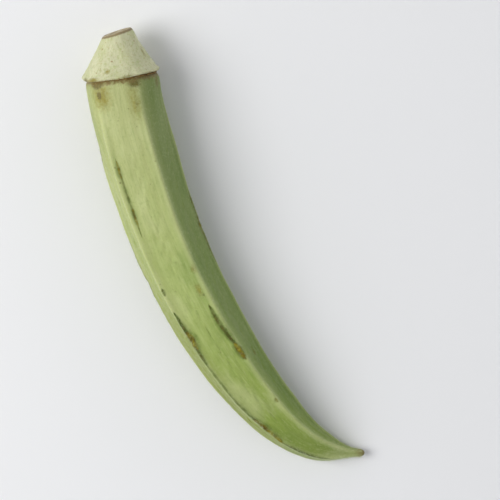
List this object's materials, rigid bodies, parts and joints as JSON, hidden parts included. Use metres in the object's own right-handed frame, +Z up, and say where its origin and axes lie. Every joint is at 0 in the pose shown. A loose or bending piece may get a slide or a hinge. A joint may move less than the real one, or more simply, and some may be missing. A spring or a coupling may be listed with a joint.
{
  "type": "okra pod",
  "caption": "Curved, ridged okra pod with a pointed tip and a pale conical stem cap cut at the stem, lying on its side.",
  "frame": {"origin": "centre of the base of the bounding box, on the surface that the pod lies on", "axes": "+X from the stem end towards the tip, +Y towards the hollow side of the bend, +Z up"},
  "size_m": [0.117, 0.029, 0.0176],
  "materials": {
    "pod_skin": "matte",
    "cap_skin": "matte"
  },
  "bodies": {
    "root": {"pod": "pod_skin", "stem_cap": "cap_skin"}
  },
  "joints": []
}
